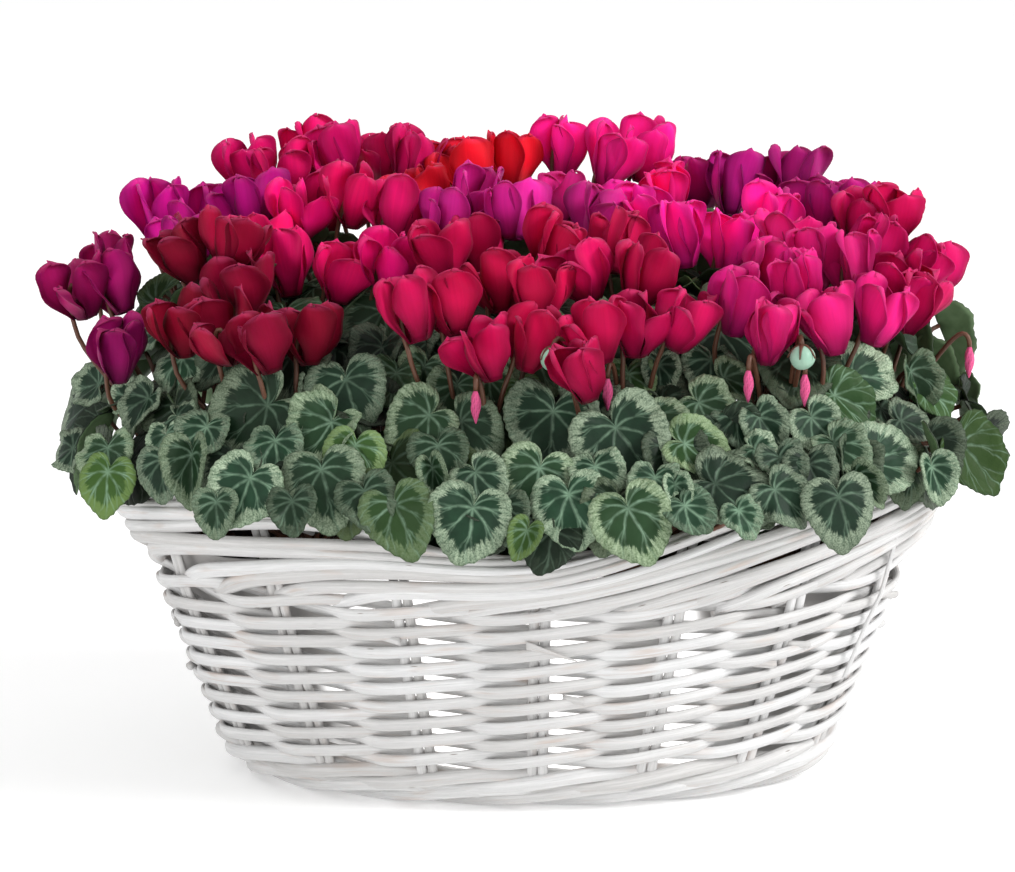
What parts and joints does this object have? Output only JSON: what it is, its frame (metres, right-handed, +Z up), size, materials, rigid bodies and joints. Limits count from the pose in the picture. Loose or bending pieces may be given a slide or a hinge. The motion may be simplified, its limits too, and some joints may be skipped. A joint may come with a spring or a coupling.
{
  "type": "potted cyclamen",
  "caption": "Oval basket of white painted willow planted with small cyclamens in mixed reds, pinks and purples over silver-marbled leaves.",
  "frame": {"origin": "centre of the basket's flat underside, on the surface it stands on", "axes": "+X along the basket's long axis, +Z up; the front of the picture looks along -Y"},
  "size_m": [0.4987, 0.3435, 0.3337],
  "materials": {
    "painted_willow": "matt white paint on peeled rods",
    "liner": "thin white film",
    "peat": "moist and crumbly",
    "leaves": "leathery, dark green with silver margins",
    "plum_petals": "velvety",
    "purple_petals": "velvety",
    "magenta_red_petals": "velvety",
    "scarlet_petals": "velvety",
    "pink_magenta_petals": "velvety",
    "deep_purple_petals": "velvety",
    "red_petals": "velvety",
    "violet_pink_petals": "velvety",
    "hot_pink_petals": "velvety",
    "bright_magenta_petals": "velvety",
    "dark_red_petals": "velvety",
    "crimson_petals": "velvety",
    "rose_petals": "velvety",
    "bright_pink_petals": "velvety"
  },
  "bodies": {
    "root": {"basket_frame": "painted_willow", "weaver": "painted_willow", "liner": "liner", "peat": "peat", "plum_blooms": "plum_petals", "purple_blooms": "purple_petals", "magenta_red_blooms": "magenta_red_petals", "scarlet_blooms": "scarlet_petals", "pink_magenta_blooms": "pink_magenta_petals", "deep_purple_blooms": "deep_purple_petals", "red_blooms": "red_petals", "violet_pink_blooms": "violet_pink_petals", "hot_pink_blooms": "hot_pink_petals", "bright_magenta_blooms": "bright_magenta_petals", "dark_red_blooms": "dark_red_petals", "crimson_blooms": "crimson_petals", "rose_blooms": "rose_petals", "bright_pink_blooms": "bright_pink_petals", "plum_leaves": "leaves", "purple_leaves": "leaves", "magenta_red_leaves": "leaves", "scarlet_leaves": "leaves", "pink_magenta_leaves": "leaves", "deep_purple_leaves": "leaves", "red_leaves": "leaves", "violet_pink_leaves": "leaves", "hot_pink_leaves": "leaves", "bright_magenta_leaves": "leaves", "dark_red_leaves": "leaves", "crimson_leaves": "leaves", "rose_leaves": "leaves", "bright_pink_leaves": "leaves"}
  },
  "joints": []
}
